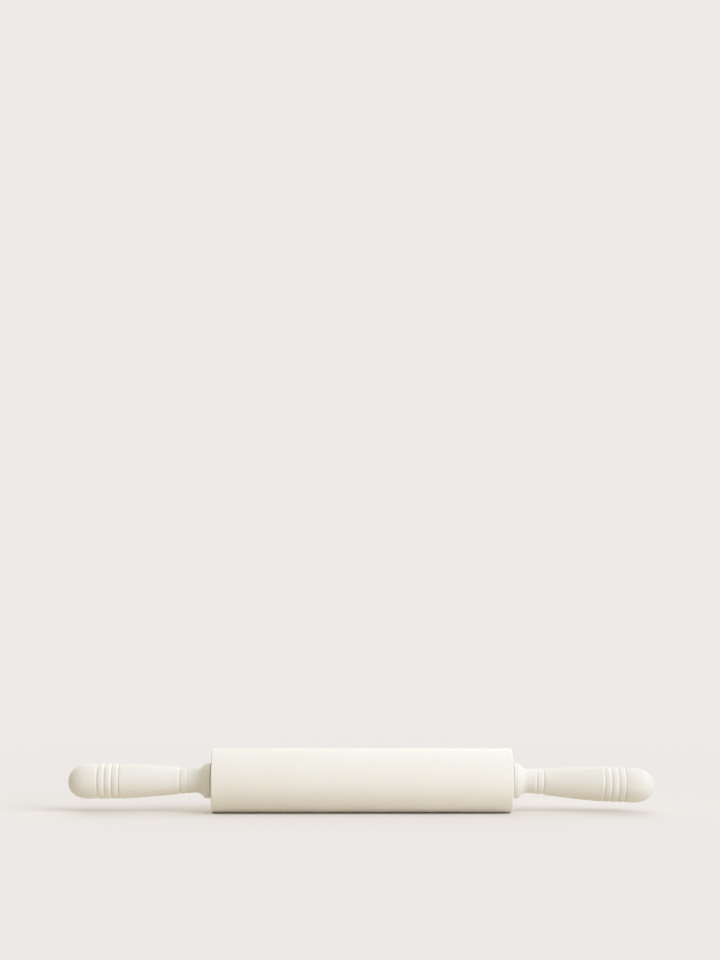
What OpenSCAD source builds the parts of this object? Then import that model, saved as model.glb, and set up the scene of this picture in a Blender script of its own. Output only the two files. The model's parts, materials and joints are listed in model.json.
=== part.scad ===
// Rolling pin with a soft-sleeved barrel and two turned handles that spin on steel spindles.
// The origin is the barrel's centre, +X runs along its axis and +Z is up. Lengths are in millimetres.
// Each side's pieces are drawn along +Z from the barrel's end face at zero, and then set on that end.

/* [Barrel] */
// Outside diameter of the barrel
barrel_d = 49; // [46:1:70]
// Length of the barrel from end face to end face
barrel_l = 230; // [150:1:400]
// Radius of the rounded edge at each end of the barrel
barrel_edge_r = 1; // [0.4:0.1:2.8]
// Wall of the soft sleeve on the core tube
sleeve_wall = 3; // [3:0.25:4]
// Wall of the core tube
tube_wall = 2; // [1:0.25:3]

/* [End caps] */
// Thickness of the flange that covers the core tube's end
cap_flange_t = 3; // [2:0.5:6]
// How far the flange lies below the barrel's end face
cap_recess = 0.4; // [0.2:0.1:1]
// Length of the skirt inside the core tube
cap_skirt_l = 14; // [6:1:30]
// Wall of the skirt
cap_skirt_wall = 2.2; // [1.2:0.2:4]
// Diameter of the hub that holds the threaded insert
cap_hub_d = 19; // [17:0.5:24]
// Thickness of hub left below the insert
cap_hub_floor = 2; // [1:0.5:5]
// Number of ribs between the hub and the skirt
cap_ribs = 6; // [3:1:10]
// Thickness of a rib
cap_rib_t = 1.8; // [1:0.2:3]
// How far a rib stops short of the skirt's end
cap_rib_inset = 2; // [1:0.5:4]

/* [Threaded inserts] */
// Diameter over the insert's knurl
insert_d = 9; // [8:0.25:11]
// Length of the insert below its flange
insert_l = 15; // [10:0.5:20]
// Diameter of the insert's flange
insert_flange_d = 15; // [13:0.5:16]
// Thickness of the insert's flange
insert_flange_t = 1.5; // [1:0.25:3]
// Width of the plain groove between the two knurled bands
insert_groove_w = 3; // [1:0.5:5]
// Depth of that groove
insert_groove_depth = 0.5; // [0.2:0.1:0.8]

/* [Spindles] */
// Diameter of the smooth journal that the handle turns on
journal_d = 8; // [7:0.25:9]
// Length of the journal from the barrel's end face to the head
journal_l = 59; // [50:1:62]
// Diameter of the thread
thread_d = 6; // [5:0.5:6.5]
// Pitch of the thread
thread_pitch = 1; // [0.5:0.1:1.25]
// Least distance from the thread's tip to the insert's inner end
thread_tip_gap = 3; // [1:0.5:6]
// Diameter of the head
head_d = 13; // [11:0.5:15]
// Thickness of the head
head_t = 5; // [4:0.5:7]
// Width across the corners of the hexagon socket
socket_d = 5.8; // [4:0.2:7]
// Depth of the hexagon socket
socket_depth = 3; // [2:0.5:3.5]

/* [Bushes and washers] */
// Wall of the bush in the neck
inner_bush_wall = 2; // [1:0.25:2.5]
// Length of the bush in the neck
inner_bush_l = 12; // [8:1:16]
// Diameter of the flange on the bush in the neck
bush_flange_d = 15; // [13.5:0.5:18]
// Thickness of that flange
bush_flange_t = 1.5; // [1:0.25:2.5]
// Length of the bush in the grip
outer_bush_l = 8; // [5:0.5:12]
// Depth of the ring that is cored out of the bush in the grip
outer_bush_core_depth = 5; // [0.5:0.5:6]
// Wall of the rim left outside that ring
outer_bush_rim_wall = 1; // [0.5:0.25:1.5]
// Diameter of the washer between the barrel and the handle
thrust_washer_d = 14.4; // [11:0.2:15]
// Thickness of that washer
thrust_washer_t = 0.8; // [0.5:0.1:1.5]
// Diameter of the washer under the spindle's head
head_washer_d = 15; // [12:0.5:16]
// Thickness of that washer
head_washer_t = 1; // [0.5:0.1:1.5]

/* [Handles] */
// Length from the barrel's end face to the tip of the handle
handle_l = 110; // [102:1:150]
// Diameter of the flared rim next to the barrel
rim_d = 27; // [24:0.2:34]
// Width of the flared rim, from its face to the start of the cove
rim_w = 5.6; // [4:0.2:9]
// Radius of the rim's edge on the barrel's side
rim_front_edge_r = 1; // [0.3:0.1:1.5]
// Length of the round that falls from the rim's crown on the neck's side
rim_round_l = 2.6; // [1.4:0.2:3.2]
// How far that round falls before the cove takes over
rim_round_drop = 1.7; // [0.5:0.1:2.2]
// Length of the cove that runs down from the rim to the neck
cove_l = 5.4; // [3:0.1:9]
// Diameter of the neck at its narrowest
neck_d = 18.2; // [16:0.1:19]
// Rise of the neck's outline towards its outer end
neck_rise = 0.35; // [0.05:0.05:0.8]
// Length of the neck
neck_l = 7.05; // [5:0.05:12]
// Crown diameter of the single bead next to the neck
collar_bead_d = 19.4; // [19:0.1:22]
// Length of that bead, from groove to groove
collar_bead_l = 5.75; // [4:0.05:9]
// Diameter of the grip at its slim end
grip_small_d = 19.8; // [19.4:0.2:24]
// Diameter of the grip at its thick end, and of the beads and tail after it
grip_big_d = 26.4; // [26:0.1:34]
// Rise of the grip's outline above a straight taper
grip_rise = 0.45; // [0.1:0.05:1.5]
// Number of beads before the tip
tail_beads = 3; // [1:1:4]
// Length of one of these beads, from groove to groove
tail_bead_l = 5.5; // [4:0.05:7]
// Rise of a bead's outline from its lips to its crown
bead_rise = 0.25; // [0.05:0.05:0.6]
// Width of a groove at its lips
groove_w = 1.5; // [0.6:0.1:2.5]
// Depth of a groove below its lower lip
groove_depth = 0.5; // [0.2:0.05:0.8]
// Length of the rounded tip, from the tail's crown
dome_l = 17.5; // [10:0.5:22]
// How square the rounded tip is. At two it is a quarter of an ellipse
tip_power = 2.4; // [2:0.1:3]
// Length of the swelling tail, from the last groove to its crown
tail_l = 5; // [2:0.5:10]
// Wall of the hollow grip
grip_wall = 3.2; // [2:0.1:4]
// Wall of the hollow tip
dome_wall = 3.4; // [2:0.1:4]
// Length of the tip's skirt inside the grip
dome_skirt_l = 5; // [3:0.5:8]
// Wall of that skirt
dome_skirt_wall = 1.7; // [1:0.1:3]
// Radius of the snap ring round that skirt
snap_r = 0.5; // [0.2:0.1:0.8]
// Tilt at which the right spindle droops in its end cap, in degrees. Zero sets it true
right_lean_angle = 2.25; // [0:0.05:3]
// The same tilt of the left spindle
left_lean_angle = 0.4; // [0:0.05:3]

/* [Hidden] */
$fn = 96;

// Sides of the pin
left = -1;
right = 1;

// Radial clearance of a piece that is pushed or moulded into its seat
seat_clear = 0.05;
// Radial clearance between a journal and its bush
run_clear = 0.05;
// Radial clearance between a spindle and a washer or a hole that it only passes through
pass_clear = 0.4;
// Free play along the spindle at each end of a handle
end_float = 0.1;
// Overrun of a cut past the face that it opens
cut = 1;
// Steps along one arc of an outline
arc_steps = 12;

// Barrel
barrel_r = barrel_d / 2;
tube_r = barrel_r - sleeve_wall - seat_clear;
tube_bore_r = tube_r - tube_wall;
cap_skirt_r = tube_bore_r - seat_clear;
cap_hub_r = cap_hub_d / 2;
tube_l = barrel_l - 2 * (cap_recess + cap_flange_t);

// Spindle and what it screws into
journal_r = journal_d / 2;
thread_r = thread_d / 2;
thread_depth = thread_pitch / 2;
insert_seat_depth = insert_flange_t + insert_l;
thread_turns = floor((insert_seat_depth - thread_tip_gap) / thread_pitch);
thread_l = thread_turns * thread_pitch;
head_r = head_d / 2;
head_end_s = journal_l + head_t;
head_chamfer = head_t / 8;
insert_r = insert_d / 2;
knurl_band_l = (insert_l - insert_groove_w) / 2;

// Stations along the handle, measured from the barrel's end face
bush_face_s = thrust_washer_t + end_float;
rim_face_s = bush_face_s + end_float;
rim_back_s = rim_face_s + rim_w;
neck_s = rim_back_s + cove_l;
collar_bead_s = neck_s + neck_l;
grip_s = collar_bead_s + collar_bead_l;
dome_s = handle_l - dome_l;
seam_s = dome_s - tail_l;
tail_beads_s = seam_s - tail_beads * tail_bead_l;
head_washer_s = journal_l - head_washer_t;
outer_bush_s = head_washer_s - end_float - outer_bush_l;

// Radii of the handle's outline
rim_r = rim_d / 2;
cove_r = rim_r - rim_round_drop;
neck_r = neck_d / 2;
neck_end_r = neck_r + neck_rise;
grip_small_r = grip_small_d / 2;
grip_big_r = grip_big_d / 2;
bead_lip_r = collar_bead_d / 2 - bead_rise;
tail_lip_r = grip_big_r - bead_rise;
groove_half = groove_w / 2;

// The grip's outline at a station, as the straight taper under its arc
grip_taper = (grip_big_r - grip_small_r) / (tail_beads_s - grip_s);
function grip_chord_r(s) = grip_small_r + grip_taper * (s - grip_s);

// Seats inside the handle
inner_bush_r = journal_r + run_clear + inner_bush_wall;
bush_flange_r = bush_flange_d / 2;
outer_bush_r = grip_chord_r(outer_bush_s) - grip_wall;
dome_seat_r = grip_big_r - grip_wall;
dome_skirt_r = dome_seat_r - seat_clear;
dome_bore_r = dome_skirt_r - dome_skirt_wall;
snap_s = seam_s - dome_skirt_l / 2;

// Points from a up to but not including b, on an arc that rises by bulge above their chord.
// A negative bulge makes the arc hollow. Points are [station, radius].
function arc(a, b, bulge) =
    let (
        chord = norm(b - a),
        along = (b - a) / chord,
        outward = [-along.y, along.x],
        half = 2 * atan(2 * bulge / chord),
        radius = chord / (2 * sin(half)),
        middle = (a + b) / 2
    )
    [
        for (i = [0 : arc_steps - 1])
            let (t = half * (2 * i / arc_steps - 1))
                middle + along * radius * sin(t) + outward * radius * (cos(t) - cos(half))
    ];

// Points of a quarter circle from a up to but not including b
function quarter(a, b) = arc(a, b, norm(b - a) * (sqrt(2) - 1) / 2);

// Bulge of an arc of length run that is level at one end and lies rise away at the other
function level_bulge(run, rise) =
    let (
        chord = norm([run, rise]),
        radius = chord * chord / (2 * rise)
    )
    radius - sqrt(radius * radius - chord * chord / 4);

// Points from one groove's valley up to but not including the next one's, over a bead
function bead(s, l, lip_r, valley_r) = concat(
    [[s, valley_r]],
    arc([s + groove_half, lip_r], [s + l - groove_half, lip_r], bead_rise),
    [[s + l - groove_half, lip_r]]
);

// Outline of the handle from the rim's face to the valley of the last groove
function handle_outline() = concat(
    quarter([rim_face_s, rim_r - rim_front_edge_r], [rim_face_s + rim_front_edge_r, rim_r]),
    [[rim_face_s + rim_front_edge_r, rim_r]],
    arc(
        [rim_back_s - rim_round_l, rim_r],
        [rim_back_s, cove_r],
        level_bulge(rim_round_l, rim_round_drop)
    ),
    arc([rim_back_s, cove_r], [neck_s, neck_r], -level_bulge(cove_l, cove_r - neck_r)),
    arc(
        [neck_s, neck_r],
        [collar_bead_s - groove_half, neck_end_r],
        -level_bulge(neck_l - groove_half, neck_rise)
    ),
    [[collar_bead_s - groove_half, neck_end_r]],
    bead(collar_bead_s, collar_bead_l, bead_lip_r, neck_end_r - groove_depth),
    [[grip_s, bead_lip_r - groove_depth]],
    arc([grip_s + groove_half, grip_small_r], [tail_beads_s - groove_half, grip_big_r], grip_rise),
    [[tail_beads_s - groove_half, grip_big_r]],
    [
        for (i = [0 : tail_beads - 1])
            each bead(tail_beads_s + i * tail_bead_l, tail_bead_l, tail_lip_r, tail_lip_r - groove_depth)
    ],
    [[seam_s, tail_lip_r - groove_depth]]
);

// Outline of the tip from the same valley to the axis, swelling to a crown and then rounded
function tip_outline() = concat(
    [[seam_s, tail_lip_r - groove_depth]],
    arc(
        [seam_s + groove_half, tail_lip_r],
        [dome_s, grip_big_r],
        level_bulge(tail_l - groove_half, bead_rise)
    ),
    round_end(dome_s, dome_l, grip_big_r)
);

// Points of a squarish quarter ellipse that starts level at station s and ends on the axis
function round_end(s, l, r) = concat(
    [
        for (i = [0 : 2 * arc_steps - 1])
            let (t = 90 * i / (2 * arc_steps))
                [s + l * pow(sin(t), 2 / tip_power), r * pow(cos(t), 2 / tip_power)]
    ],
    [[s + l, 0]]
);

// Solid of revolution from an outline, closed along the axis
module turned(outline) {
    first = outline[0];
    last = outline[len(outline) - 1];
    rotate_extrude() {
        polygon(concat([[0, first.x]], [for (p = outline) [p.y, p.x]], last.y > 0 ? [[0, last.x]] : []));
    }
}

// Cylinder of radius r between two stations
module disc(from_s, to_s, r) {
    translate([0, 0, from_s]) {
        cylinder(h = to_s - from_s, r = r);
    }
}

// Ring of round section, whose middle circle has radius r
module round_ring(s, r, section_r) {
    translate([0, 0, s]) {
        rotate_extrude() {
            translate([r, 0]) {
                circle(r = section_r);
            }
        }
    }
}

// Places children that are drawn along +Z on one end of the barrel, tilted down by lean
module at_end(side, lean = 0) {
    rotate([0, 0, side == left ? 180 : 0]) {
        translate([barrel_l / 2, 0, 0]) {
            rotate([0, 90 + lean, 0]) {
                children();
            }
        }
    }
}

// Places children on one side's spindle, which droops by that side's lean
module on_spindle(side) {
    at_end(side, side == left ? left_lean_angle : right_lean_angle) {
        children();
    }
}

module silicone_sleeve() {
    half_l = barrel_l / 2;
    edge_r = barrel_r - barrel_edge_r;
    outline = concat(
        quarter([-half_l, edge_r], [barrel_edge_r - half_l, barrel_r]),
        [[barrel_edge_r - half_l, barrel_r]],
        quarter([half_l - barrel_edge_r, barrel_r], [half_l, edge_r]),
        [[half_l, edge_r]]
    );
    color("ivory") {
        rotate([0, 90, 0]) {
            difference() {
                turned(outline);
                disc(-half_l - cut, half_l + cut, barrel_r - sleeve_wall);
            }
        }
    }
}

module core_tube() {
    color("lightgray") {
        rotate([0, 90, 0]) {
            difference() {
                disc(-tube_l / 2, tube_l / 2, tube_r);
                disc(-tube_l / 2 - cut, tube_l / 2 + cut, tube_bore_r);
            }
        }
    }
}

// Flange, skirt, hub and ribs of an end cap, drawn without the insert's seat
module end_cap_blank() {
    flange_back_s = -cap_recess - cap_flange_t;
    flange_middle_s = flange_back_s + cap_flange_t / 2;
    skirt_back_s = flange_back_s - cap_skirt_l;
    skirt_bore_r = cap_skirt_r - cap_skirt_wall;
    difference() {
        union() {
            disc(flange_back_s, -cap_recess, tube_r);
            disc(skirt_back_s, flange_middle_s, cap_skirt_r);
        }
        disc(skirt_back_s - cut, flange_back_s, skirt_bore_r);
    }
    disc(-insert_seat_depth - cap_hub_floor, flange_middle_s, cap_hub_r);
    rib_back_s = skirt_back_s + cap_rib_inset;
    rib_start = cap_hub_r / 2;
    rib_end = skirt_bore_r + cap_skirt_wall / 2;
    for (i = [0 : cap_ribs - 1]) {
        rotate([0, 0, (i + 1 / 2) * 360 / cap_ribs]) {
            translate([rib_start, -cap_rib_t / 2, rib_back_s]) {
                cube([rib_end - rib_start, cap_rib_t, flange_middle_s - rib_back_s]);
            }
        }
    }
}

module end_cap(side) {
    color("ivory") {
        difference() {
            at_end(side) {
                end_cap_blank();
            }
            on_spindle(side) {
                disc(-insert_flange_t, cut, insert_flange_d / 2 + seat_clear);
                disc(-insert_seat_depth, 0, insert_r + seat_clear);
            }
        }
    }
}

module threaded_insert(side) {
    groove_end_s = -insert_flange_t - knurl_band_l;
    groove_start_s = groove_end_s - insert_groove_w;
    color("goldenrod") {
        on_spindle(side) {
            difference() {
                union() {
                    disc(-insert_flange_t, 0, insert_flange_d / 2);
                    // The knurl is drawn as twelve flats
                    translate([0, 0, -insert_seat_depth]) {
                        cylinder(h = insert_seat_depth - insert_flange_t / 2, r = insert_r, $fn = 12);
                    }
                }
                difference() {
                    disc(groove_start_s, groove_end_s, insert_r + cut);
                    disc(groove_start_s - cut, groove_end_s + cut, insert_r - insert_groove_depth);
                }
                disc(-insert_seat_depth - cut, cut, thread_r + seat_clear);
            }
        }
    }
}

module spindle(side) {
    // The thread is drawn as a stack of rings, with a crest in the middle of each turn
    thread_outline = [
        for (i = [0 : thread_turns - 1])
            each [
                [i * thread_pitch - thread_l, thread_r - thread_depth],
                [(i + 1 / 2) * thread_pitch - thread_l, thread_r]
            ]
    ];
    shank_outline = [
        [0, thread_r - thread_depth],
        [0, journal_r],
        [journal_l, journal_r],
        [journal_l, head_r],
        [head_end_s - head_chamfer, head_r],
        [head_end_s, head_r - head_chamfer]
    ];
    color("silver") {
        on_spindle(side) {
            difference() {
                turned(concat(thread_outline, shank_outline));
                translate([0, 0, head_end_s - socket_depth]) {
                    cylinder(h = socket_depth + cut, r = socket_d / 2, $fn = 6);
                }
            }
        }
    }
}

// Washer that starts at station s
module washer(s, t, d) {
    difference() {
        disc(s, s + t, d / 2);
        disc(s - cut, s + t + cut, journal_r + pass_clear);
    }
}

module thrust_washer(side) {
    color("whitesmoke") {
        on_spindle(side) {
            washer(0, thrust_washer_t, thrust_washer_d);
        }
    }
}

module head_washer(side) {
    color("silver") {
        on_spindle(side) {
            washer(head_washer_s, head_washer_t, head_washer_d);
        }
    }
}

module inner_bush(side) {
    color("whitesmoke") {
        on_spindle(side) {
            difference() {
                union() {
                    disc(bush_face_s, bush_face_s + bush_flange_t, bush_flange_r);
                    disc(bush_face_s, bush_face_s + inner_bush_l, inner_bush_r);
                }
                disc(bush_face_s - cut, bush_face_s + inner_bush_l + cut, journal_r + run_clear);
            }
        }
    }
}

module outer_bush(side) {
    outer_bush_end_s = outer_bush_s + outer_bush_l;
    core_end_s = outer_bush_s + outer_bush_core_depth;
    color("whitesmoke") {
        on_spindle(side) {
            difference() {
                disc(outer_bush_s, outer_bush_end_s, outer_bush_r);
                disc(outer_bush_s - cut, outer_bush_end_s + cut, journal_r + run_clear);
                difference() {
                    disc(outer_bush_s - cut, core_end_s, outer_bush_r - outer_bush_rim_wall);
                    disc(outer_bush_s - 2 * cut, outer_bush_end_s, inner_bush_r);
                }
            }
        }
    }
}

module handle_body(side) {
    grip_bore_r = outer_bush_r - outer_bush_rim_wall;
    seat_r = outer_bush_r + seat_clear;
    hollow = [
        [grip_s, min(grip_small_r - grip_wall, grip_bore_r)],
        [outer_bush_s, grip_bore_r],
        [outer_bush_s, seat_r],
        [outer_bush_s + outer_bush_l, seat_r],
        [seam_s - dome_skirt_l - end_float, dome_seat_r],
        [seam_s + cut, dome_seat_r]
    ];
    color("ivory") {
        on_spindle(side) {
            difference() {
                turned(handle_outline());
                disc(rim_face_s - cut, bush_face_s + bush_flange_t, bush_flange_r + seat_clear);
                disc(rim_face_s, bush_face_s + inner_bush_l, inner_bush_r + seat_clear);
                disc(rim_face_s, seam_s, journal_r + pass_clear);
                turned(hollow);
                round_ring(snap_s, dome_skirt_r - snap_r / 2, snap_r + 2 * seat_clear);
            }
        }
    }
}

module dome_cap(side) {
    hollow = concat(
        [[seam_s - dome_skirt_l - cut, dome_bore_r]],
        round_end(dome_s, dome_l - dome_wall, dome_bore_r)
    );
    color("ivory") {
        on_spindle(side) {
            difference() {
                union() {
                    turned(tip_outline());
                    disc(seam_s - dome_skirt_l, dome_s, dome_skirt_r);
                    round_ring(snap_s, dome_skirt_r - snap_r / 2, snap_r);
                }
                turned(hollow);
            }
        }
    }
}

silicone_sleeve();
core_tube();
end_cap(left);  // left_end_cap
threaded_insert(left);  // left_threaded_insert
spindle(left);  // left_spindle
thrust_washer(left);  // left_thrust_washer
inner_bush(left);  // left_inner_bush
outer_bush(left);  // left_outer_bush
head_washer(left);  // left_head_washer
handle_body(left);  // left_handle_body
dome_cap(left);  // left_dome_cap
end_cap(right);  // right_end_cap
threaded_insert(right);  // right_threaded_insert
spindle(right);  // right_spindle
thrust_washer(right);  // right_thrust_washer
inner_bush(right);  // right_inner_bush
outer_bush(right);  // right_outer_bush
head_washer(right);  // right_head_washer
handle_body(right);  // right_handle_body
dome_cap(right);  // right_dome_cap
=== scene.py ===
"""Rolling pin: an ivory barrel and two turned handles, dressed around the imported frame.

Each piece is drawn as an outline of stations along a line and radii about it, its corners are
softened, and the outline is spun about that line. All sizes are in metres.
"""

import json
import math
from collections import namedtuple

import bpy
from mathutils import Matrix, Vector


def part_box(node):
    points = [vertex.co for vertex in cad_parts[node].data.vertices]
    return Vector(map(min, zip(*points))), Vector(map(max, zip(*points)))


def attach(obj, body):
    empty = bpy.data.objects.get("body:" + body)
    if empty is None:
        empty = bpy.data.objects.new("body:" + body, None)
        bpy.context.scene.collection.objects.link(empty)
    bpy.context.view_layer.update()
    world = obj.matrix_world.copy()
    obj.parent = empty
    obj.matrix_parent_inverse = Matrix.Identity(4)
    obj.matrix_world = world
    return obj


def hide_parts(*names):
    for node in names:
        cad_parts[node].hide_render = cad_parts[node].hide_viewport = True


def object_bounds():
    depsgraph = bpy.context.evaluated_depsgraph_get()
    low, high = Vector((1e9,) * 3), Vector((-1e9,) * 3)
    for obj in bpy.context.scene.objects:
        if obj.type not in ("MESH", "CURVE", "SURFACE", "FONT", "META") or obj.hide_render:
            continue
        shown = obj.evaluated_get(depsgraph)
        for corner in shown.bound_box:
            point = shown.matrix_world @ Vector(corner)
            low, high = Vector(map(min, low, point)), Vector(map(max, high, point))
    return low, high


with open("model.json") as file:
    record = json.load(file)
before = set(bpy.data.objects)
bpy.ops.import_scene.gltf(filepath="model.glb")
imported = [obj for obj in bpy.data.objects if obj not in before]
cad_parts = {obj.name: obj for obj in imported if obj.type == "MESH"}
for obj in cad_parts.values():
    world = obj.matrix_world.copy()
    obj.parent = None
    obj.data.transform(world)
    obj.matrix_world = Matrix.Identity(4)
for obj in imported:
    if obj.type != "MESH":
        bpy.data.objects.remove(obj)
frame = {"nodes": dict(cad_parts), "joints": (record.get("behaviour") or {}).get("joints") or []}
cad_low, cad_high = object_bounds()

bl_info = {
    "name": "Rolling Pin",
    "version": (1, 0, 0),
    "blender": (4, 5, 0),
    "location": "3D Viewport > Sidebar > Rolling Pin",
    "description": "Models a rolling pin with a soft sleeve and two turned, spinning handles",
    "category": "Add Mesh",
}

# A point of an outline: station along the axis, radius, and how far its corner is softened
Point = namedtuple("Point", "s r soft", defaults=(0.0,))

# A line that pieces are turned about: where it starts, where it runs, and the way up from it
Axis = namedtuple("Axis", "start along up")

SIDES = {"left": -1, "right": 1}
MICRON = 1e-6
MERGE_DISTANCE = 0.5 * MICRON
SMOOTH_ANGLE = math.radians(32)

# Sockets of a Mix node, which go by number: two inputs and the output, for numbers and for colours
NUMBER_A, NUMBER_B, NUMBER_OUT = 2, 3, 0
COLOUR_A, COLOUR_B, COLOUR_OUT = 6, 7, 2


# Lines to turn about

def barrel_axis(side):
    """The barrel's own axis, started at the end face on one side and run outwards."""
    return Axis(Vector((side * barrel_end, 0, 0)), Vector((side, 0, 0)), Vector((0, 0, 1)))


def handle_axis(side_name):
    """The line that one handle spins about, as the frame's joint has it."""
    joint = joints[side_name + "_handle_spin"]
    along = Vector(joint["axis"]).normalized()
    up = Vector((0, -1, 0)).cross(along)
    if up.z < 0:
        up = -up
    return Axis(Vector(joint["pos_m"]), along, up)


def place(axis, point):
    """Where a point of an outline lies."""
    return axis.start + axis.along * point.s + axis.up * point.r


# Sizes read from the frame

def radius_of(node):
    """Radius of a round node that lies along the barrel."""
    low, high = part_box(node)
    return (high.y - low.y) / 2


def stations_of(node, axis):
    """First and last station of a node along the line that it is turned about."""
    piece = frame["nodes"][node]
    corners = [piece.matrix_world @ vertex.co for vertex in piece.data.vertices]
    runs = [(corner - axis.start).dot(axis.along) for corner in corners]
    return min(runs), max(runs)


joints = {joint["name"]: joint for joint in frame["joints"]}
barrel_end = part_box("silicone_sleeve")[1].x
barrel_radius = radius_of("silicone_sleeve")
tube_radius = radius_of("core_tube")
left_axis = handle_axis("left")
handle_length = stations_of("left_dome_cap", left_axis)[1]
handle_radius = radius_of("left_dome_cap")
rim_radius = radius_of("left_handle_body")
rim_station, seam_station = stations_of("left_handle_body", left_axis)


# Sizes and colours that a user would change

def length(name, description, default):
    return bpy.props.FloatProperty(
        name=name, description=description, default=default, min=0.0, unit="LENGTH", precision=5)


def colour(name, description, default):
    return bpy.props.FloatVectorProperty(
        name=name, description=description, default=default, min=0.0, max=1.0, subtype="COLOR")


def amount(name, description, default):
    return bpy.props.FloatProperty(name=name, description=description, default=default, min=0.0)


class PinBarrelShape(bpy.types.PropertyGroup):
    edge: length("Edge", "Radius of the rounded edge at each end of the sleeve", 0.001)
    lip: length("Lip", "Softening of the sleeve's inner edge and of the end caps' edges", 0.0004)
    seat_gap: length("Seat gap", "Clearance of a pushed-in piece on its radius", 0.00005)
    skirt_length: length("Skirt length", "Length of an end cap's skirt behind its flange", 0.014)
    skirt_wall: length("Skirt wall", "Wall of that skirt", 0.0022)
    tube_wall: length("Tube wall", "Wall of the core tube", 0.002)
    hub_radius: length("Hub radius", "Radius of the hub round the threaded insert", 0.0095)
    rib_width: length("Rib width", "Width of a rib between hub and skirt", 0.0018)
    rib_inset: length("Rib inset", "How far a rib stops short of the skirt's end", 0.002)
    insert_radius: length("Insert radius", "Radius over the threaded insert's knurl", 0.0045)
    insert_flange: length("Insert flange", "Thickness of the threaded insert's flange", 0.0015)
    overrun: length("Overrun", "How far a cut runs past the face that it opens", 0.001)
    fillet: length("Fillet", "Softening in the corners behind the flange", 0.0008)
    ribs: bpy.props.IntProperty(name="Ribs", description="Ribs of an end cap", default=6, min=3)


class PinHandleShape(bpy.types.PropertyGroup):
    rim_width: length("Rim width", "Width of the flared rim, up to the cove", 0.0056)
    rim_front: length("Rim front", "Radius of the rim's edge on the barrel's side", 0.001)
    rim_round: length("Rim round", "Length of the round that falls from the rim's crown", 0.0026)
    rim_drop: length("Rim drop", "How far that round falls before the cove takes over", 0.0017)
    cove: length("Cove", "Length of the cove between rim and neck", 0.0054)
    neck_radius: length("Neck radius", "Least radius of the neck", 0.0091)
    neck_rise: length("Neck rise", "Rise of the neck towards its outer end", 0.00035)
    neck_length: length("Neck length", "Length of the neck", 0.00705)
    collar_radius: length("Collar radius", "Crown radius of the single bead", 0.0097)
    collar_length: length("Collar length", "Length of the single bead", 0.00575)
    slim_radius: length("Slim radius", "Radius of the grip at its slim end", 0.0099)
    grip_rise: length("Grip rise", "Rise of the grip above a straight taper", 0.00045)
    beads: bpy.props.IntProperty(name="Beads", description="Beads before the tip", default=3, min=1)
    bead_length: length("Bead length", "Length of one of these beads", 0.0055)
    bead_rise: length("Bead rise", "Rise of a bead from its lips to its crown", 0.00025)
    groove_width: length("Groove width", "Width of a groove at its lips", 0.0015)
    groove_depth: length("Groove depth", "Depth of a groove below its lower lip", 0.0005)
    lip_soft: length("Lip softness", "Softening of a groove's lips", 0.00035)
    valley_soft: length("Valley softness", "Softening at the bottom of a groove", 0.0003)
    seam_soft: length("Seam softness", "Softening of the edges where grip and tip meet", 0.00012)
    dome: length("Dome", "Length of the rounded tip, from the tail's crown", 0.0175)
    dome_power: amount("Dome squareness", "Two makes the rounded tip a quarter of an ellipse", 2.4)
    grip_wall: length("Grip wall", "Wall of the hollow grip", 0.0032)
    tip_wall: length("Tip wall", "Wall of the hollow tip", 0.0034)
    skirt_length: length("Skirt length", "Length of the tip's skirt inside the grip", 0.005)
    skirt_wall: length("Skirt wall", "Wall of that skirt", 0.0017)
    snap: length("Snap", "Radius of the snap ring round that skirt", 0.0005)
    spindle_hole: length("Spindle hole", "Radius of the hole that the spindle passes", 0.0044)
    bush_radius: length("Bush radius", "Radius of the bush in the neck", 0.00605)
    bush_flange: length("Bush flange", "Thickness of that bush's flange", 0.0015)
    bush_rim: length("Bush rim", "Shoulder that stops the bush in the grip", 0.001)
    play: length("Play", "Free play along the spindle", 0.0001)


class PinFinish(bpy.types.PropertyGroup):
    ivory: colour("Ivory", "Colour of the sleeve and the handles", (0.911, 0.894, 0.839))
    # Painted shade: the handles and end caps take the ivory darkened by this share, standing in for shade on
    # the handles
    handle_painted_shade: amount("Handle shade", "Brightness of the handles beside the sleeve", 0.93)
    ivory_deep: colour("Deep ivory", "Colour of the deeper patches in the ivory", (0.897, 0.876, 0.813))
    ivory_worn: colour("Worn ivory", "Colour along edges and crowns that are touched", (0.926, 0.915, 0.872))
    gloss: amount("Gloss", "Specular level of the ivory, where 0.5 is plain plastic", 0.1)
    nylon: colour("Nylon", "Colour of the bushes and thrust washers", (0.78, 0.76, 0.69))
    steel: colour("Steel", "Colour of the spindles and their washers", (0.56, 0.56, 0.57))
    brass: colour("Brass", "Colour of the threaded inserts", (0.70, 0.50, 0.22))
    aluminium: colour("Aluminium", "Colour of the core tube", (0.72, 0.73, 0.75))
    grain: length("Grain", "Size of the fine grain that gives the satin finish", 0.0004)
    grain_depth: length("Grain depth", "Depth of that grain", 0.000006)
    patch: length("Patch", "Size of the faint clouds in colour and sheen", 0.03)


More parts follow.
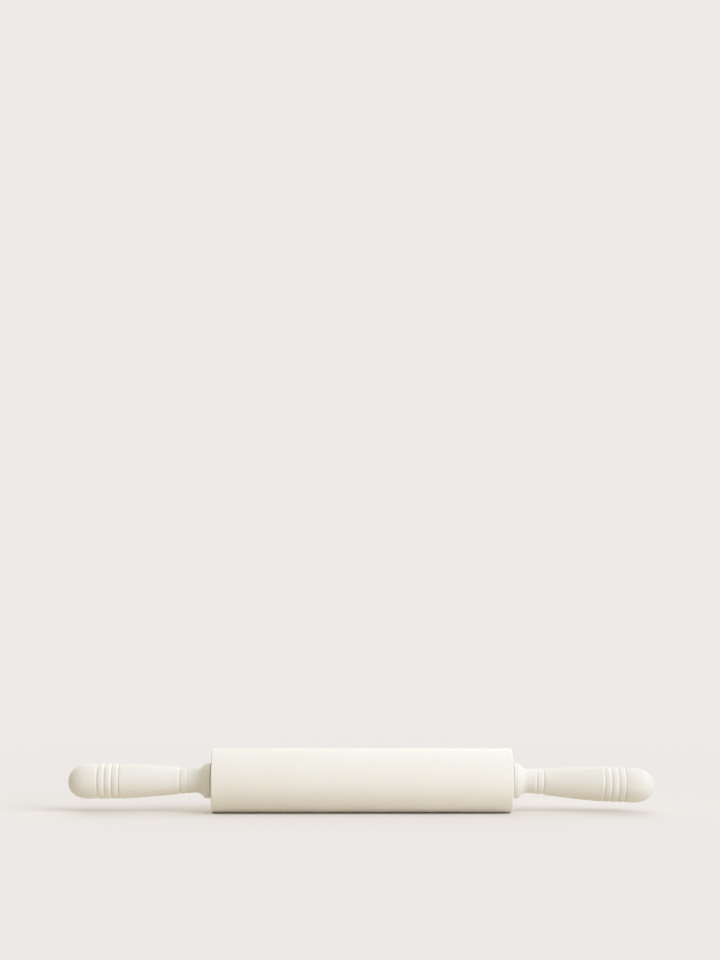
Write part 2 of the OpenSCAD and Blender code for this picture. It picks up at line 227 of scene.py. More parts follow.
class PinStageLook(bpy.types.PropertyGroup):
    backdrop: colour("Backdrop", "Colour of the background", (0.855, 0.823, 0.799))
    floor: colour("Floor", "Colour of the floor where it takes light and shadow", (0.855, 0.825, 0.812))
    floor_glow: colour("Floor bounce", "Colour of the light that the floor sends back up", (0.85, 0.77, 0.64))
    floor_radius: length("Floor radius", "Radius of the floor", 9.0)
    plain_from: length("Plain from", "Distance at which the floor starts to turn into the background", 0.42)
    plain_to: length("Plain to", "Distance from which the floor is the plain background", 0.9)
    sky: amount("Sky", "Strength of the even light from all round", 0.01)
    key: amount("Key", "Strength of the low light from the front right", 1.74)
    right: amount("Right", "Strength of the higher light from the right", 0.44)
    key_hue: colour("Key hue", "Colour of the two lights from the right", (0.75, 0.83, 1.0))
    front: amount("Front", "Strength of the broad light from above and in front", 1.15)
    front_hue: colour("Front hue", "Colour of that light", (1.0, 0.91, 0.757))
    top: amount("Top", "Strength of the broad light from above", 0.3)
    top_hue: colour("Top hue", "Colour of that light", (0.96, 1.0, 0.966))
    back: amount("Back", "Strength of the broad light from behind", 1.9)
    back_hue: colour("Back hue", "Colour of that light", (1.0, 0.985, 0.935))
    distance: length("Distance", "Distance of the camera from the barrel's centre", 1.57)
    aside: length("Aside", "How far the camera stands to the left of that centre", 0.033)
    lens: amount("Lens", "Focal length in millimetres", 75.7)
    sensor: amount("Sensor", "Width of the sensor in millimetres, along the picture's long side", 36.0)
    sight: bpy.props.FloatProperty(
        name="Sight", description="Angle at which the camera looks down on the barrel's centre",
        default=math.radians(5.3), subtype="ANGLE")
    roll: bpy.props.FloatProperty(
        name="Roll", description="Tilt of the camera about the line that it looks along",
        default=math.radians(-0.1), subtype="ANGLE")
    picture: bpy.props.IntVectorProperty(
        name="Picture", description="Width and height of the picture in pixels", default=(720, 960), size=2)
    centre: bpy.props.FloatVectorProperty(
        name="Centre", description="Pixel at which the barrel's centre shows", default=(362.1, 780.5), size=2)


# Outlines

def arc(a, b, rise, steps=8):
    """Points from a up to but not including b, on an arc that rises above their chord."""
    chord = math.dist((a.s, a.r), (b.s, b.r))
    along = ((b.s - a.s) / chord, (b.r - a.r) / chord)
    outward = (-along[1], along[0])
    half = 2 * math.atan(2 * rise / chord)
    radius = chord / (2 * math.sin(half))
    points = []
    for i in range(steps):
        turn = half * (2 * i / steps - 1)
        run = chord / 2 + radius * math.sin(turn)
        lift = radius * (math.cos(turn) - math.cos(half))
        soft = a.soft if i == 0 else 0.0
        points.append(Point(a.s + along[0] * run + outward[0] * lift,
                            a.r + along[1] * run + outward[1] * lift, soft))
    return points


def quarter(a, b):
    """Points of a quarter circle from a up to but not including b."""
    return arc(a, b, math.dist((a.s, a.r), (b.s, b.r)) * (math.sqrt(2) - 1) / 2)


def level_bulge(run, rise):
    """Bulge of an arc of length run that is level at one end and lies rise away at the other."""
    chord = math.hypot(run, rise)
    radius = chord * chord / (2 * rise)
    return radius - math.sqrt(radius * radius - chord * chord / 4)


def round_end(s, run, radius, power, steps=24):
    """Points of a squarish quarter ellipse that starts level at station s and ends on the axis."""
    points = []
    for i in range(steps):
        turn = math.pi / 2 * i / steps
        points.append(Point(s + run * math.sin(turn) ** (2 / power),
                            radius * math.cos(turn) ** (2 / power)))
    return points + [Point(s + run, 0.0)]


def snap_bulge(s, r, section, outward):
    """A small half round on a skirt or in its seat, from a lower to a higher station."""
    steps = 8
    points = []
    for i in range(steps + 1):
        turn = math.pi * i / steps
        points.append(Point(s - section * math.cos(turn), r + outward * section * math.sin(turn) / 2))
    return points


def bead(shape, s, run, lip, valley):
    """Points from one groove's bottom up to but not including the next one's, over a bead."""
    half = shape.groove_width / 2
    start = Point(s + half, lip, shape.lip_soft)
    end = Point(s + run - half, lip, shape.lip_soft)
    return [Point(s, valley, shape.valley_soft), *arc(start, end, shape.bead_rise, steps=6), end]


def handle_outside(shape):
    """The turned outside of a handle, from the rim's face to the bottom of the last groove."""
    half = shape.groove_width / 2
    rim_end = rim_station + shape.rim_width
    neck = rim_end + shape.cove
    collar = neck + shape.neck_length
    grip = collar + shape.collar_length
    beads = seam_station - shape.beads * shape.bead_length
    neck_end = shape.neck_radius + shape.neck_rise
    collar_lip = shape.collar_radius - shape.bead_rise
    bead_lip = handle_radius - shape.bead_rise
    bead_valley = bead_lip - shape.groove_depth
    cove_radius = rim_radius - shape.rim_drop
    rim_face = Point(rim_station, rim_radius - shape.rim_front)
    rim_top = Point(rim_station + shape.rim_front, rim_radius)
    round_start = Point(rim_end - shape.rim_round, rim_radius)
    cove_start = Point(rim_end, cove_radius)
    neck_start = Point(neck, shape.neck_radius)
    neck_stop = Point(collar - half, neck_end, shape.lip_soft)
    grip_start = Point(grip + half, shape.slim_radius, shape.lip_soft)
    grip_stop = Point(beads - half, handle_radius, shape.lip_soft)
    points = quarter(rim_face, rim_top)
    points.append(rim_top)
    points += arc(round_start, cove_start, level_bulge(shape.rim_round, shape.rim_drop), 12)
    points += arc(cove_start, neck_start, -level_bulge(shape.cove, cove_radius - shape.neck_radius), 12)
    points += arc(neck_start, neck_stop, -level_bulge(shape.neck_length - half, shape.neck_rise))
    points.append(neck_stop)
    points += bead(shape, collar, shape.collar_length, collar_lip, neck_end - shape.groove_depth)
    points.append(Point(grip, collar_lip - shape.groove_depth, shape.valley_soft))
    points += arc(grip_start, grip_stop, shape.grip_rise, steps=20)
    points.append(grip_stop)
    for i in range(shape.beads):
        points += bead(shape, beads + i * shape.bead_length, shape.bead_length, bead_lip, bead_valley)
    points.append(Point(seam_station, bead_valley, shape.seam_soft))
    return points


def handle_hollow(shape, seat_gap):
    """The hollow inside a handle, from the tip's seat back to the rim's face."""
    grip = rim_station + shape.rim_width + shape.cove + shape.neck_length + shape.collar_length
    seat = handle_radius - shape.grip_wall
    bush_in, bush_out = stations_of("left_outer_bush", left_axis)
    bush_seat = radius_of("left_outer_bush") + seat_gap
    bush_bore = radius_of("left_outer_bush") - shape.bush_rim
    flange_seat = radius_of("left_inner_bush") + seat_gap
    bush_face, bush_end = stations_of("left_inner_bush", left_axis)
    slim = min(shape.slim_radius - shape.grip_wall, bush_bore)
    neck_seat = shape.bush_radius + seat_gap
    flange_back = bush_face + shape.bush_flange
    groove = snap_bulge(seam_station - shape.skirt_length / 2, seat, shape.snap, 1)
    return [
        Point(seam_station, seat, shape.seam_soft),
        *reversed(groove),
        Point(seam_station - shape.skirt_length - shape.play, seat),
        Point(bush_out, bush_seat),
        Point(bush_in, bush_seat),
        Point(bush_in, bush_bore),
        Point(grip, slim),
        Point(grip, shape.spindle_hole),
        Point(bush_end, shape.spindle_hole),
        Point(bush_end, neck_seat),
        Point(flange_back, neck_seat),
        Point(flange_back, flange_seat),
        Point(rim_station, flange_seat),
    ]


def tip_outline(shape, seat_gap):
    """A tip, from its outer pole over its skirt to its inner pole."""
    half = shape.groove_width / 2
    dome = handle_length - shape.dome
    lip = handle_radius - shape.bead_rise
    skirt = handle_radius - shape.grip_wall - seat_gap
    bore = skirt - shape.skirt_wall
    skirt_end = seam_station - shape.skirt_length
    ring = snap_bulge(seam_station - shape.skirt_length / 2, skirt, shape.snap, 1)
    tail_start = Point(seam_station + half, lip, shape.lip_soft)
    tail_rise = level_bulge(dome - tail_start.s, shape.bead_rise)
    tail = arc(tail_start, Point(dome, handle_radius), tail_rise)
    return [
        *reversed([*tail, *round_end(dome, shape.dome, handle_radius, shape.dome_power)]),
        Point(seam_station, lip - shape.groove_depth, shape.seam_soft),
        Point(seam_station, skirt),
        *reversed(ring),
        Point(skirt_end, skirt, shape.lip_soft),
        Point(skirt_end, bore, shape.lip_soft),
        *round_end(dome, shape.dome - shape.tip_wall, bore, shape.dome_power),
    ]


# Modelling by operators

def context_object():
    """The object that the last operator made."""
    return bpy.context.view_layer.objects.active


def deselect_all():
    """Nothing stays selected, so that the next operator acts on the new piece alone."""
    bpy.ops.object.select_all(action="DESELECT")


def select_points(piece, places):
    """Selects the vertices of a chain that lie at these places."""
    for edge in piece.data.edges:
        edge.select = False
    for vertex in piece.data.vertices:
        here = piece.matrix_world @ vertex.co
        vertex.select = any((here - there).length < MICRON for there in places)


def draw_chain(axis, outline, closed):
    """Draws an outline as a chain of extruded vertices."""
    deselect_all()
    first = place(axis, outline[0])
    bpy.ops.mesh.primitive_plane_add(size=MICRON, location=first)
    piece = context_object()
    bpy.ops.object.mode_set(mode="EDIT")
    bpy.ops.mesh.merge(type="CENTER")
    here = first
    for point in outline[1:]:
        there = place(axis, point)
        bpy.ops.mesh.extrude_region_move(TRANSFORM_OT_translate={"value": there - here})
        here = there
    bpy.ops.object.mode_set(mode="OBJECT")
    if closed:
        select_points(piece, [first, here])
        bpy.ops.object.mode_set(mode="EDIT")
        bpy.ops.mesh.edge_face_add()
        bpy.ops.object.mode_set(mode="OBJECT")
    return piece


def soften_corners(piece, axis, outline, segments=4):
    """Rounds the chain's corners, each by its own softness."""
    for soft in sorted({point.soft for point in outline} - {0.0}):
        select_points(piece, [place(axis, point) for point in outline if point.soft == soft])
        bpy.ops.object.mode_set(mode="EDIT")
        bpy.ops.mesh.select_mode(type="VERT")
        bpy.ops.mesh.bevel(affect="VERTICES", offset=soft, segments=segments, clamp_overlap=True)
        bpy.ops.object.mode_set(mode="OBJECT")


def turn(name, axis, outline, closed=True, steps=128):
    """Makes a piece by spinning an outline about an axis."""
    piece = draw_chain(axis, outline, closed)
    soften_corners(piece, axis, outline)
    bpy.ops.object.mode_set(mode="EDIT")
    bpy.ops.mesh.select_all(action="SELECT")
    bpy.ops.mesh.spin(steps=steps, angle=math.tau, center=axis.start, axis=axis.along)
    bpy.ops.mesh.select_all(action="SELECT")
    bpy.ops.mesh.remove_doubles(threshold=MERGE_DISTANCE)
    bpy.ops.mesh.normals_make_consistent(inside=False)
    bpy.ops.object.mode_set(mode="OBJECT")
    return settle(piece, name)


def settle(piece, name):
    """Puts a piece's place into its mesh, shades it smooth and names it."""
    deselect_all()
    piece.select_set(True)
    bpy.context.view_layer.objects.active = piece
    bpy.ops.object.transform_apply(location=True, rotation=True, scale=True)
    bpy.ops.object.shade_smooth_by_angle(angle=SMOOTH_ANGLE)
    piece.name = name
    piece.data.name = name
    return piece


def combine(piece, other, operation):
    """Joins another solid to a piece, or cuts it out of the piece."""
    deselect_all()
    bpy.context.view_layer.objects.active = piece
    piece.select_set(True)
    cut = piece.modifiers.new(name=operation.title(), type="BOOLEAN")
    cut.operation = operation
    cut.solver = "EXACT"
    cut.object = other
    bpy.ops.object.modifier_apply(modifier=cut.name)
    bpy.data.objects.remove(other)


def dress(piece, finish, body, node):
    """Gives a piece its finish and its place in the frame."""
    piece.data.materials.clear()
    piece.data.materials.append(finish)
    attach(piece, body)
    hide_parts(node)


# Shader effects that several materials share

def new_group(name, inputs, outputs):
    """An empty node group with its sockets. Each input is a kind, a name and a default."""
    tree = bpy.data.node_groups.new(name, "ShaderNodeTree")
    for kind, label, default in inputs:
        socket = tree.interface.new_socket(label, in_out="INPUT", socket_type="NodeSocket" + kind)
        if default is not None:
            socket.default_value = default
    for kind, label in outputs:
        tree.interface.new_socket(label, in_out="OUTPUT", socket_type="NodeSocket" + kind)
    entry = tree.nodes.new("NodeGroupInput")
    leave = tree.nodes.new("NodeGroupOutput")
    return tree, entry, leave


def add(tree, kind, **settings):
    """Adds a node and sets its options."""
    node = tree.nodes.new("ShaderNode" + kind)
    for option, value in settings.items():
        setattr(node, option, value)
    return node


def scale_from_size(tree, size_socket):
    """Turns the size of a feature into a texture's scale."""
    divide = add(tree, "Math", operation="DIVIDE")
    divide.inputs[0].default_value = 1.0
    tree.links.new(size_socket, divide.inputs[1])
    return divide.outputs[0]


def noise(tree, vector, size_socket, detail):
    """A noise texture whose features have the given size. Returns its value."""
    texture = add(tree, "TexNoise")
    texture.inputs["Detail"].default_value = detail
    tree.links.new(vector, texture.inputs["Vector"])
    tree.links.new(scale_from_size(tree, size_socket), texture.inputs["Scale"])
    return texture.outputs["Fac"]


def remap(tree, value, low, high, to_low=0.0, to_high=1.0):
    """Maps a range of a value to another one, clamped."""
    node = add(tree, "MapRange", interpolation_type="SMOOTHSTEP")
    tree.links.new(value, node.inputs["Value"])
    node.inputs["From Min"].default_value = low
    node.inputs["From Max"].default_value = high
    for target, label in ((to_low, "To Min"), (to_high, "To Max")):
        if isinstance(target, bpy.types.NodeSocket):
            tree.links.new(target, node.inputs[label])
        else:
            node.inputs[label].default_value = target
    return node.outputs["Result"]


def satin_grain_group():
    """Fine moulded grain, over a long and faint unevenness."""
    wave_to_grain = 2.5
    tree, entry, leave = new_group(
        "satin_grain",
        [("Vector", "Vector", None), ("Float", "Grain size", 0.0004), ("Float", "Wave size", 0.012)],
        [("Float", "Height")])
    grain = noise(tree, entry.outputs["Vector"], entry.outputs["Grain size"], 2.0)
    wave = noise(tree, entry.outputs["Vector"], entry.outputs["Wave size"], 1.0)
    total = add(tree, "Math", operation="MULTIPLY_ADD")
    total.inputs[1].default_value = wave_to_grain
    tree.links.new(wave, total.inputs[0])
    tree.links.new(grain, total.inputs[2])
    tree.links.new(total.outputs[0], leave.inputs["Height"])
    return tree


def cloudy_colour_group():
    """Faint clouds between two colours, as in pigmented silicone and plastic."""
    tree, entry, leave = new_group(
        "cloudy_colour",
        [("Vector", "Vector", None), ("Float", "Patch size", 0.03),
         ("Color", "Pale", (0.8, 0.8, 0.8, 1.0)), ("Color", "Deep", (0.7, 0.7, 0.7, 1.0))],
        [("Color", "Color"), ("Float", "Cloud")])
    cloud = noise(tree, entry.outputs["Vector"], entry.outputs["Patch size"], 4.0)
    share = remap(tree, cloud, low=0.3, high=0.75)
    mix = add(tree, "Mix", data_type="RGBA")
    tree.links.new(share, mix.inputs["Factor"])
    tree.links.new(entry.outputs["Pale"], mix.inputs[COLOUR_A])
    tree.links.new(entry.outputs["Deep"], mix.inputs[COLOUR_B])
    tree.links.new(mix.outputs[COLOUR_OUT], leave.inputs["Color"])
    tree.links.new(share, leave.inputs["Cloud"])
    return tree


def worn_edge_group():
    """Where the surface turns sharply outwards, broken up so that no edge is worn evenly."""
    tree, entry, leave = new_group(
        "worn_edge",
        [("Vector", "Vector", None), ("Float", "Break size", 0.004)],
        [("Float", "Mask")])
    geometry = add(tree, "NewGeometry")
    edge = remap(tree, geometry.outputs["Pointiness"], low=0.505, high=0.56)
    broken = noise(tree, entry.outputs["Vector"], entry.outputs["Break size"], 3.0)
    patchy = remap(tree, broken, low=0.25, high=0.65, to_low=0.35)
    mask = add(tree, "Math", operation="MULTIPLY")
    tree.links.new(edge, mask.inputs[0])
    tree.links.new(patchy, mask.inputs[1])
    tree.links.new(mask.outputs[0], leave.inputs["Mask"])
    return tree


def handled_sheen_group():
    """Roughness of a satin surface: smoother where hands and edges have polished it."""
    tree, entry, leave = new_group(
        "handled_sheen",
        [("Vector", "Vector", None), ("Float", "Smear size", 0.018), ("Float", "Edge", 0.0),
         ("Float", "Polished", 0.4), ("Float", "Dull", 0.5)],
        [("Float", "Roughness")])
    smear = noise(tree, entry.outputs["Vector"], entry.outputs["Smear size"], 5.0)
    sheen = remap(tree, smear, low=0.32, high=0.7,
                  to_low=entry.outputs["Polished"], to_high=entry.outputs["Dull"])
    mix = add(tree, "Mix", data_type="FLOAT")
    tree.links.new(entry.outputs["Edge"], mix.inputs["Factor"])
    tree.links.new(sheen, mix.inputs[NUMBER_A])
    tree.links.new(entry.outputs["Polished"], mix.inputs[NUMBER_B])
    tree.links.new(mix.outputs[NUMBER_OUT], leave.inputs["Roughness"])
    return tree


def turning_marks_group():
    """Fine rings that a lathe or a drawing die leaves, along the piece's own axis."""
    tree, entry, leave = new_group(
        "turning_marks",
        [("Vector", "Vector", None), ("Float", "Pitch", 0.0003)],
        [("Float", "Height"), ("Float", "Ring")])
    split = add(tree, "SeparateXYZ")
    tree.links.new(entry.outputs["Vector"], split.inputs[0])
    rings = add(tree, "TexNoise", noise_dimensions="1D")
    rings.inputs["Detail"].default_value = 3.0
    tree.links.new(split.outputs["X"], rings.inputs["W"])
    tree.links.new(scale_from_size(tree, entry.outputs["Pitch"]), rings.inputs["Scale"])
    tree.links.new(rings.outputs["Fac"], leave.inputs["Height"])
    tree.links.new(remap(tree, rings.outputs["Fac"], low=0.3, high=0.7), leave.inputs["Ring"])
    return tree


GROUPS = {
    "satin_grain": satin_grain_group,
    "cloudy_colour": cloudy_colour_group,
    "worn_edge": worn_edge_group,
    "handled_sheen": handled_sheen_group,
    "turning_marks": turning_marks_group,
}


def effect(tree, name, vector, **values):
    """Places a shared effect in a material, with the material's own values."""
    node = tree.nodes.new("ShaderNodeGroup")
    node.node_tree = bpy.data.node_groups.get(name) or GROUPS[name]()
    tree.links.new(vector, node.inputs["Vector"])
    for label, value in values.items():
        node.inputs[label.replace("_", " ")].default_value = value
    return node


def rgba(value):
    return (*value, 1.0)


# Finishes

def start_material(name):
    """A material with only its shader, and the coordinates that its patterns follow."""
    material = bpy.data.materials.new(name)
    material.use_nodes = True
    tree = material.node_tree
    shader = tree.nodes["Principled BSDF"]
    position = add(tree, "TexCoord").outputs["Object"]
    return material, tree, shader, position


def bump(tree, shader, height, depth):
    """Feeds a height into the shader's normal."""
    node = add(tree, "Bump")
    node.inputs["Distance"].default_value = depth
    tree.links.new(height, node.inputs["Height"])
    tree.links.new(node.outputs["Normal"], shader.inputs["Normal"])


def satin_ivory(name, finish, shade, polished, dull, grain_share, softness):
    """Ivory silicone or plastic: cloudy, grained, and polished along its edges, with all its colours darkened
    by the share of painted shade that it is given.
    """
    material = bpy.data.materials.get(name)
    if material:
        return material
    material, tree, shader, position = start_material(name)
    edge = effect(tree, "worn_edge", position, Break_size=0.004)
    # Painted shade darkens the pale, deep and worn ivory alike; the sleeve is given none
    clouds = effect(tree, "cloudy_colour", position, Patch_size=finish.patch,
                    Pale=rgba(darker(finish.ivory, shade)), Deep=rgba(darker(finish.ivory_deep, shade)))
    worn = add(tree, "Mix", data_type="RGBA")
    worn.inputs[COLOUR_B].default_value = rgba(darker(finish.ivory_worn, shade))
    tree.links.new(edge.outputs["Mask"], worn.inputs["Factor"])
    tree.links.new(clouds.outputs["Color"], worn.inputs[COLOUR_A])
    tree.links.new(worn.outputs[COLOUR_OUT], shader.inputs["Base Color"])
    sheen = effect(tree, "handled_sheen", position, Smear_size=finish.patch * 0.6,
                   Polished=polished, Dull=dull)
    tree.links.new(edge.outputs["Mask"], sheen.inputs["Edge"])
    tree.links.new(sheen.outputs["Roughness"], shader.inputs["Roughness"])
    grain = effect(tree, "satin_grain", position, Grain_size=finish.grain * grain_share,
                   Wave_size=finish.patch * 0.4)
    bump(tree, shader, grain.outputs["Height"], finish.grain_depth)
    shader.inputs["Subsurface Weight"].default_value = 0.15
    shader.inputs["Subsurface Radius"].default_value = (1.0, 0.7, 0.4)
    shader.inputs["Subsurface Scale"].default_value = softness
    shader.inputs["Specular IOR Level"].default_value = finish.gloss
    return material


def sleeve_silicone(finish):
    return satin_ivory("satin_sleeve", finish, shade=1.0, polished=0.50, dull=0.60,
                       grain_share=1.0, softness=0.0014)


def handle_plastic(finish):
    # The handles' ivory carries the painted shade
    return satin_ivory("satin_handle", finish, shade=finish.handle_painted_shade, polished=0.42, dull=0.52,
                       grain_share=0.8, softness=0.0008)


def cap_plastic(finish):
    # The end caps share the handles' painted shade
    return satin_ivory("satin_cap", finish, shade=finish.handle_painted_shade, polished=0.45, dull=0.58,
                       grain_share=0.9, softness=0.0008)


def turned_metal(name, base, deep, pitch, depth, smooth, dull, lean=0.0):
    """Bare metal with the rings of its making, and a duller film in patches."""
    material = bpy.data.materials.get(name)
    if material:
        return material
    material, tree, shader, position = start_material(name)
    mapping = add(tree, "Mapping")
    mapping.inputs["Rotation"].default_value = (0.0, lean, 0.0)
    tree.links.new(position, mapping.inputs["Vector"])
    along = mapping.outputs["Vector"]
    marks = effect(tree, "turning_marks", along, Pitch=pitch)
    clouds = effect(tree, "cloudy_colour", along, Patch_size=0.012, Pale=rgba(base), Deep=rgba(deep))
    tree.links.new(clouds.outputs["Color"], shader.inputs["Base Color"])
    sheen = effect(tree, "handled_sheen", along, Smear_size=0.008, Polished=smooth, Dull=dull)
    tree.links.new(marks.outputs["Ring"], sheen.inputs["Edge"])
    tree.links.new(sheen.outputs["Roughness"], shader.inputs["Roughness"])
    bump(tree, shader, marks.outputs["Height"], depth)
    shader.inputs["Metallic"].default_value = 1.0
    return material


def core_aluminium(finish):
    return turned_metal("drawn_aluminium", finish.aluminium, darker(finish.aluminium, 0.88),
                        pitch=0.0006, depth=4 * MICRON, smooth=0.30, dull=0.45)


def spindle_steel(finish, side_name):
    return turned_metal("turned_steel_" + side_name, finish.steel, darker(finish.steel, 0.9),
                        pitch=0.0002, depth=3 * MICRON, smooth=0.18, dull=0.32, lean=side_lean(side_name))


def insert_brass(finish, side_name):
    return turned_metal("turned_brass_" + side_name, finish.brass, darker(finish.brass, 0.8),
                        pitch=0.00025, depth=5 * MICRON, smooth=0.22, dull=0.40,
                        lean=side_lean(side_name))


def darker(base, share):
    """A deeper shade of a colour."""
    return tuple(channel * share for channel in base)


def bush_nylon(finish):
    """Natural nylon: a waxy white with faint moulding clouds."""
    material = bpy.data.materials.get("waxy_nylon")
    if material:
        return material
    material, tree, shader, position = start_material("waxy_nylon")
    clouds = effect(tree, "cloudy_colour", position, Patch_size=0.008,
                    Pale=rgba(finish.nylon), Deep=rgba(darker(finish.nylon, 0.93)))
    tree.links.new(clouds.outputs["Color"], shader.inputs["Base Color"])
    sheen = effect(tree, "handled_sheen", position, Smear_size=0.006, Polished=0.34, Dull=0.46)
    tree.links.new(sheen.outputs["Roughness"], shader.inputs["Roughness"])
    grain = effect(tree, "satin_grain", position, Grain_size=finish.grain, Wave_size=0.005)
    bump(tree, shader, grain.outputs["Height"], finish.grain_depth)
    shader.inputs["Subsurface Weight"].default_value = 0.3
    shader.inputs["Subsurface Radius"].default_value = (1.0, 0.8, 0.6)
    shader.inputs["Subsurface Scale"].default_value = 0.001
    return material


def side_lean(side_name):
    """How far one side's spindle leans, as a turn about the Y axis."""
    along = handle_axis(side_name).along
    return math.atan2(along.z, abs(along.x)) * SIDES[side_name]


def paint(node, finish):
    """Gives a node of the frame its finish."""
    for slot in frame["nodes"][node].material_slots:
        slot.material = finish


def seen_directly(tree):
    """One where the camera sees this itself, or sees it in a gloss or through glass."""
    path = add(tree, "LightPath")
    either = add(tree, "Math", operation="MAXIMUM")
    tree.links.new(path.outputs["Is Camera Ray"], either.inputs[0])
    tree.links.new(path.outputs["Is Glossy Ray"], either.inputs[1])
    any_of_them = add(tree, "Math", operation="MAXIMUM")
    tree.links.new(either.outputs[0], any_of_them.inputs[0])
    tree.links.new(path.outputs["Is Transmission Ray"], any_of_them.inputs[1])
    return any_of_them.outputs[0]


def floor_finish(look):
    """The floor takes shadows near the pin, and is the plain background further out."""
    material, tree, shader, position = start_material("floor")
    seen = seen_directly(tree)
    hue = add(tree, "Mix", data_type="RGBA")
    hue.inputs[COLOUR_A].default_value = rgba(look.floor_glow)
    hue.inputs[COLOUR_B].default_value = rgba(look.floor)
    tree.links.new(seen, hue.inputs["Factor"])
    tree.links.new(hue.outputs[COLOUR_OUT], shader.inputs["Base Color"])
    shader.inputs["Roughness"].default_value = 1.0
    shader.inputs["Specular IOR Level"].default_value = 0.0
    distance = add(tree, "VectorMath", operation="LENGTH")
    tree.links.new(position, distance.inputs[0])
    far = remap(tree, distance.outputs["Value"], look.plain_from, look.plain_to)
    plain = add(tree, "Emission")
    plain.inputs["Color"].default_value = rgba(look.backdrop)
    share = add(tree, "Math", operation="MULTIPLY")
    tree.links.new(far, share.inputs[0])
    tree.links.new(seen, share.inputs[1])
    mix = add(tree, "MixShader")
    tree.links.new(share.outputs[0], mix.inputs["Fac"])
    tree.links.new(shader.outputs[0], mix.inputs[1])
    tree.links.new(plain.outputs[0], mix.inputs[2])
    tree.links.new(mix.outputs[0], tree.nodes["Material Output"].inputs["Surface"])
    return material


# Operators

class PIN_OT_make_sleeve(bpy.types.Operator):
    """Model the soft sleeve of the barrel"""
    bl_idname = "rolling_pin.make_sleeve"
    bl_label = "Sleeve"

    def execute(self, context):
        shape = context.scene.pin_barrel
        axis = barrel_axis(1)
        bore = tube_radius + shape.seat_gap
        far = -2 * barrel_end
        outline = [
            Point(0.0, bore, shape.lip),
            Point(0.0, barrel_radius, shape.edge),
            Point(far, barrel_radius, shape.edge),
            Point(far, bore, shape.lip),
        ]
        piece = turn("sleeve", axis, outline, steps=192)
        dress(piece, sleeve_silicone(context.scene.pin_finish), "barrel",
              "silicone_sleeve")
        return {"FINISHED"}


class PIN_OT_make_end_caps(bpy.types.Operator):
    """Model the two plugs that close the barrel and hold the threaded inserts"""
    bl_idname = "rolling_pin.make_end_caps"
    bl_label = "End Caps"

    def make_ribs(self, axis, shape, back, front, outer):
        """The ribs between hub and skirt, as one object."""
        inner = shape.hub_radius / 2
        deselect_all()
        ribs = []
        for i in range(shape.ribs):
            angle = math.tau * (i + 0.5) / shape.ribs
            out = Vector((0, -math.sin(angle), math.cos(angle)))
            middle = axis.start + axis.along * ((back + front) / 2) + out * ((inner + outer) / 2)
            bpy.ops.mesh.primitive_cube_add(
                size=1.0, location=middle, rotation=(angle, 0, 0),
                scale=(front - back, shape.rib_width, outer - inner))
            ribs.append(context_object())
        for rib in ribs:
            rib.select_set(True)
        bpy.ops.object.join()
        return context_object()

    def execute(self, context):
        shape = context.scene.pin_barrel
        finish = cap_plastic(context.scene.pin_finish)
        hub_back, face = stations_of("left_end_cap", barrel_axis(-1))
        flange_back = stations_of("core_tube", barrel_axis(-1))[1]
        skirt_back = flange_back - shape.skirt_length
        skirt = tube_radius - shape.tube_wall - shape.seat_gap
        bore = skirt - shape.skirt_wall
        insert_back, insert_face = stations_of("left_threaded_insert", left_axis)
        body_seat = shape.insert_radius + shape.seat_gap
        flange_seat = radius_of("left_threaded_insert") + shape.seat_gap
        blank = [
            Point(face, 0.0),
            Point(face, tube_radius, shape.lip),
            Point(flange_back, tube_radius),
            Point(flange_back, skirt),
            Point(skirt_back, skirt, shape.lip),
            Point(skirt_back, bore, shape.lip),
            Point(flange_back, bore, shape.fillet),
            Point(flange_back, shape.hub_radius, shape.fillet),
            Point(hub_back, shape.hub_radius, shape.lip),
            Point(hub_back, 0.0),
        ]
        seat = [
            Point(insert_face + shape.overrun, 0.0),
            Point(insert_face + shape.overrun, flange_seat),
            Point(insert_face - shape.insert_flange, flange_seat),
            Point(insert_face - shape.insert_flange, body_seat),
            Point(insert_back, body_seat),
            Point(insert_back, 0.0),
        ]
        for side_name, side in SIDES.items():
            axis = barrel_axis(side)
            cap = turn(side_name + "_cap", axis, blank, closed=False)
            ribs = self.make_ribs(axis, shape, skirt_back + shape.rib_inset,
                                  (flange_back + face) / 2, bore + shape.skirt_wall / 2)
            combine(cap, ribs, "UNION")
            cut = turn("seat", handle_axis(side_name), seat, closed=False, steps=96)
            combine(cap, cut, "DIFFERENCE")
            settle(cap, side_name + "_cap")
            dress(cap, finish, "barrel", side_name + "_end_cap")
        return {"FINISHED"}


class PIN_OT_make_grips(bpy.types.Operator):
    """Model the two turned, hollow grips"""
    bl_idname = "rolling_pin.make_grips"
    bl_label = "Grips"

    def execute(self, context):
        shape = context.scene.pin_handle
        seat_gap = context.scene.pin_barrel.seat_gap
        outline = handle_outside(shape) + handle_hollow(shape, seat_gap)
        for side_name in SIDES:
            piece = turn(side_name + "_grip", handle_axis(side_name), outline)
            dress(piece, handle_plastic(context.scene.pin_finish), side_name + "_handle",
                  side_name + "_handle_body")
        return {"FINISHED"}


class PIN_OT_make_tips(bpy.types.Operator):
    """Model the two rounded tips that snap into the grips"""
    bl_idname = "rolling_pin.make_tips"
    bl_label = "Tips"

    def execute(self, context):
        shape = context.scene.pin_handle
        outline = tip_outline(shape, context.scene.pin_barrel.seat_gap)
        for side_name in SIDES:
            piece = turn(side_name + "_tip", handle_axis(side_name), outline, closed=False)
            dress(piece, handle_plastic(context.scene.pin_finish), side_name + "_handle",
                  side_name + "_dome_cap")
        return {"FINISHED"}


